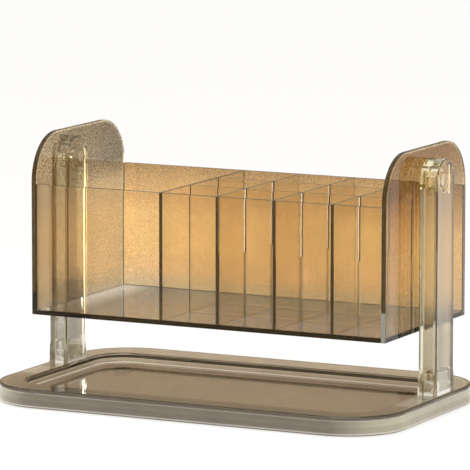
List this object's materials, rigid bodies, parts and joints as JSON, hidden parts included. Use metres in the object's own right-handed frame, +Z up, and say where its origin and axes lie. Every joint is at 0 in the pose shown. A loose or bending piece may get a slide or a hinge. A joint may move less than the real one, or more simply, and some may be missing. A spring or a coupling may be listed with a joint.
{
  "type": "rotating makeup organizer",
  "caption": "Smoky clear desk organizer: a divided tub for brushes and lipsticks turns between two posts on a shallow tray.",
  "frame": {"origin": "on the table surface, below the middle of the tray", "axes": "+X along the tub and the pivot axis, -Y to the front, +Z up"},
  "size_m": [0.222, 0.1358, 0.1328],
  "materials": {
    "tray_plastic": "gloss, smoky clear",
    "post_plastic": "gloss, smoky clear",
    "pin_plastic": "gloss, smoky clear",
    "sheet_acrylic": "gloss, smoky clear",
    "divider_acrylic": "gloss, smoky clear",
    "foot_rubber": "matt, translucent"
  },
  "bodies": {
    "base": {"base_tray": "tray_plastic", "left_post": "post_plastic", "right_post": "post_plastic", "foot_front_left": "foot_rubber", "foot_front_right": "foot_rubber", "foot_rear_left": "foot_rubber", "foot_rear_right": "foot_rubber"},
    "tub": {"left_pivot_pin": "pin_plastic", "right_pivot_pin": "pin_plastic", "tub_floor": "sheet_acrylic", "front_wall": "sheet_acrylic", "rear_wall": "sheet_acrylic", "left_end_panel": "sheet_acrylic", "right_end_panel": "sheet_acrylic", "long_divider_front": "divider_acrylic", "long_divider_rear": "divider_acrylic", "cross_divider_1": "divider_acrylic", "cross_divider_2": "divider_acrylic", "cross_divider_3": "divider_acrylic", "cross_divider_4": "divider_acrylic"}
  },
  "joints": [
    {"name": "tub_turn", "type": "hinge", "parent": "base", "child": "tub", "pos_m": [0, 0.01545, 0.11695], "axis": [1, 0, 0], "continuous": true}
  ]
}
